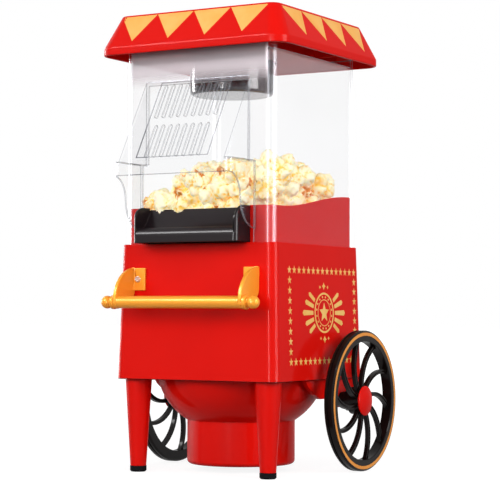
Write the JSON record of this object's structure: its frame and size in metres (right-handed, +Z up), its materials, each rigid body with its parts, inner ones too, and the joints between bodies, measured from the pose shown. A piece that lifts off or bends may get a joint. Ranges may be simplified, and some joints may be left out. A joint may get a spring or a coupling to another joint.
{
  "type": "popcorn maker",
  "caption": "Cart-shaped hot-air popcorn maker with a clear cover, vented chute hood, black spout, bowl-shaped fan housing, front legs and swirl-spoke rear wheels.",
  "frame": {"origin": "on the ground, in the middle of the part's whole width and depth", "axes": "+Z up, the handle, spout and hood face -Y, the wheels turn about X"},
  "size_m": [0.2264, 0.2394, 0.43],
  "materials": {
    "red_plastic": "moulded plastic, satin gloss",
    "rubber": "matt rubber",
    "black_gloss": "black moulded plastic, glossy edges",
    "black_plastic": "black moulded plastic, semi-gloss",
    "orange_trim": "orange-gold painted ring",
    "gold_paint": "satin gold paint",
    "clear_plastic": "clear polycarbonate, polished",
    "smoked_plastic": "smoked clear plastic",
    "steel": "zinc-plated steel",
    "coil_wire": "oxidised resistance wire",
    "aluminium_sheet": "drawn sheet, matt",
    "zinc_plate": "zinc-plated can",
    "mica": "pressed mica board",
    "white_sleeve": "glass-fibre sleeve",
    "board": "printed circuit board"
  },
  "bodies": {
    "base": {"base_housing": "red_plastic", "lower_bowl": "red_plastic", "intake_drum": "red_plastic", "intake_grille": "black_plastic", "front_leg_left": "red_plastic", "front_leg_right": "red_plastic", "foot_left": "rubber", "foot_right": "rubber", "axle_bracket_left": "red_plastic", "axle_bracket_right": "red_plastic", "stub_axle_left": "steel", "stub_axle_right": "steel", "inner_liner": "red_plastic", "spout": "black_plastic", "popping_chamber": "aluminium_sheet", "air_tube": "aluminium_sheet", "mica_cards": "mica", "heating_coil": "coil_wire", "thermostat": "black_plastic", "thermal_fuse": "white_sleeve", "motor_can": "zinc_plate", "motor_mount": "black_plastic", "rectifier_board": "board", "switch_frame": "black_plastic", "cord_inlet": "black_plastic", "handle_bracket_left": "gold_paint", "handle_bracket_right": "gold_paint", "handle_bar": "gold_paint", "handle_knob_left": "gold_paint", "handle_knob_right": "gold_paint", "handle_screws": "steel", "leg_screws": "steel", "bracket_screws": "steel", "bowl_screws": "steel", "grille_screws": "steel", "motor_screws": "steel", "liner_screws": "steel"},
    "left_wheel": {"wheel_left": "black_gloss", "trim_ring_left": "orange_trim", "hub_cap_left": "red_plastic"},
    "right_wheel": {"wheel_right": "black_gloss", "trim_ring_right": "orange_trim", "hub_cap_right": "red_plastic"},
    "fan_rotor": {"fan": "aluminium_sheet", "motor_shaft": "steel"},
    "switch_rocker": {"rocker": "black_plastic"},
    "cover": {"clear_cover": "clear_plastic", "chute_hood": "clear_plastic"},
    "roof": {"roof": "red_plastic"},
    "cup": {"measuring_cup": "smoked_plastic"}
  },
  "joints": [
    {"name": "left_wheel_spin", "type": "hinge", "parent": "base", "child": "left_wheel", "pos_m": [-0.105, 0.053, 0.0667], "axis": [1, 0, 0], "continuous": true},
    {"name": "right_wheel_spin", "type": "hinge", "parent": "base", "child": "right_wheel", "pos_m": [0.105, 0.053, 0.0667], "axis": [1, 0, 0], "continuous": true},
    {"name": "fan_spin", "type": "hinge", "parent": "base", "child": "fan_rotor", "pos_m": [0, 0.0066, 0.075], "axis": [0, 0, 1], "continuous": true},
    {"name": "switch_tilt", "type": "hinge", "parent": "base", "child": "switch_rocker", "pos_m": [0.045, 0.09266, 0.1272], "axis": [1, 0, 0], "range_deg": [-14, 0]},
    {"name": "cover_lift", "type": "slide", "parent": "base", "child": "cover", "axis": [0, 0, 1], "range_m": [0, 0.12]},
    {"name": "roof_lift", "type": "slide", "parent": "cover", "child": "roof", "axis": [0, 0, 1], "range_m": [0, 0.08]},
    {"name": "cup_pull", "type": "slide", "parent": "roof", "child": "cup", "axis": [0, 0, -1], "range_m": [0, 0.06]}
  ]
}
